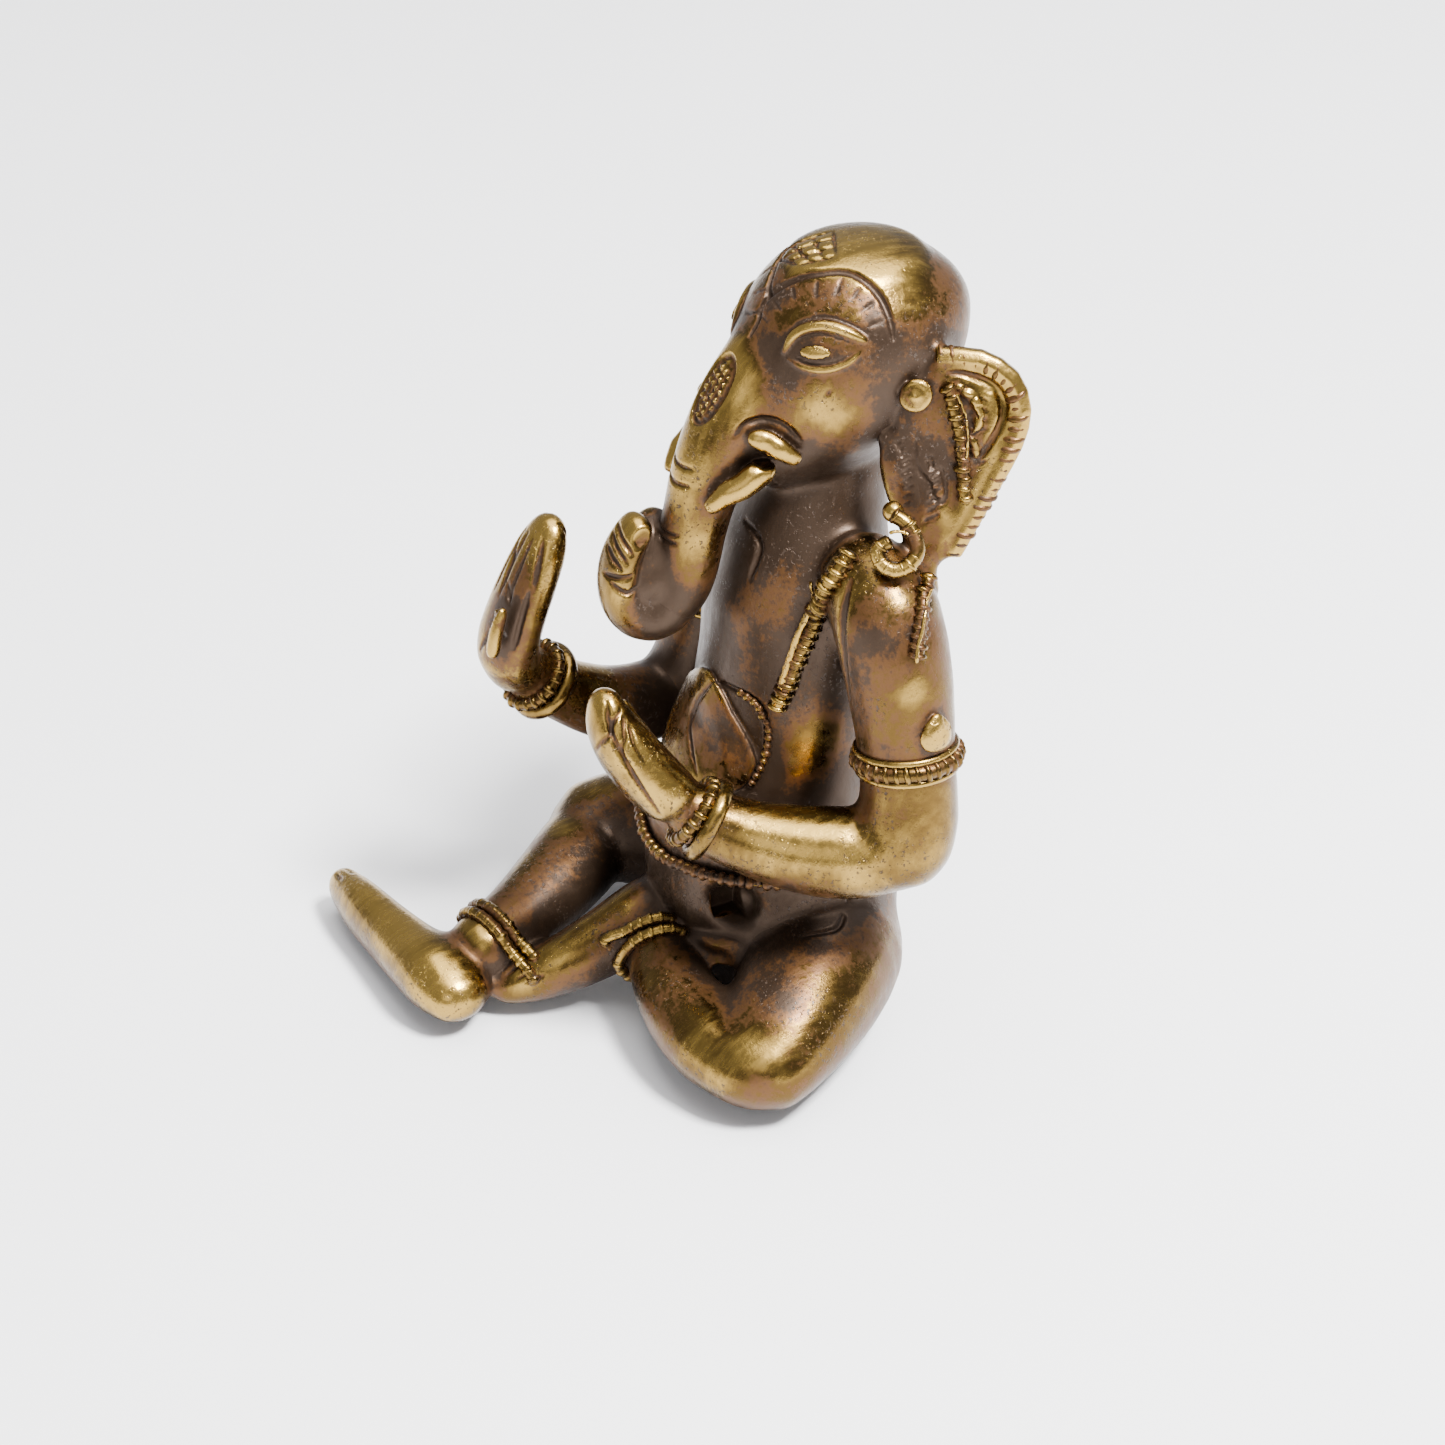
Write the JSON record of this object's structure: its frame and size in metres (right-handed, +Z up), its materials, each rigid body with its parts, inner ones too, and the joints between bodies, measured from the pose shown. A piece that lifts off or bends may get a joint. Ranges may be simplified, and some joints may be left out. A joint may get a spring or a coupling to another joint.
{
  "type": "ganesha idol",
  "caption": "Small seated brass figure with an elephant head, one leg folded and one stretched forward, one hand raised and the other held before the belly.",
  "frame": {"origin": "on the floor under the middle of the figure's bounding box", "axes": "+Z up from the seat to the crown; the figure faces -Y, and its own left side is +X"},
  "size_m": [0.0668, 0.07, 0.0986],
  "materials": {
    "brass": "aged cast brass, polished by handling on the high places, brown in the grooves",
    "dark_brass": "aged cast brass under a dark brown patina, satin"
  },
  "bodies": {
    "root": {"anklet_left": "brass", "anklet_right": "brass", "armlet_leaf_left": "brass", "armlet_leaf_right": "brass", "armlet_left": "brass", "armlet_right": "brass", "belly_beads": "brass", "belly_leaf": "dark_brass", "bracelet_inner_left": "brass", "bracelet_inner_right": "brass", "bracelet_outer_left": "brass", "bracelet_outer_right": "brass", "ear_leaf_front_left": "brass", "ear_leaf_front_right": "brass", "ear_leaf_rear_left": "brass", "ear_leaf_rear_right": "brass", "ear_left": "brass", "ear_ridge_left": "brass", "ear_ridge_right": "brass", "ear_right": "brass", "ear_rim_left": "brass", "ear_rim_right": "brass", "ear_stud_left": "brass", "ear_stud_right": "brass", "earring_bead_left": "brass", "earring_bead_right": "brass", "earring_left": "brass", "earring_right": "brass", "eye_left": "brass", "eye_right": "brass", "foot_left": "brass", "foot_right": "brass", "forearm_left": "brass", "forearm_right": "dark_brass", "hand_left": "brass", "hand_right": "brass", "head": "brass", "hip_cloth_left": "brass", "hip_cloth_right": "dark_brass", "lap_web": "dark_brass", "sacred_thread": "brass", "shin_left": "brass", "shin_right": "dark_brass", "shoulder_lock_left": "brass", "shoulder_lock_right": "brass", "thigh_left": "brass", "thigh_right": "dark_brass", "thumb_left": "brass", "thumb_right": "brass", "torso": "dark_brass", "trunk": "brass", "trunk_curl": "brass", "tusk_left": "brass", "tusk_right": "brass", "tusk_socket_left": "brass", "tusk_socket_right": "brass", "upper_arm_left": "brass", "upper_arm_right": "dark_brass", "waist_cord": "dark_brass"}
  },
  "joints": []
}
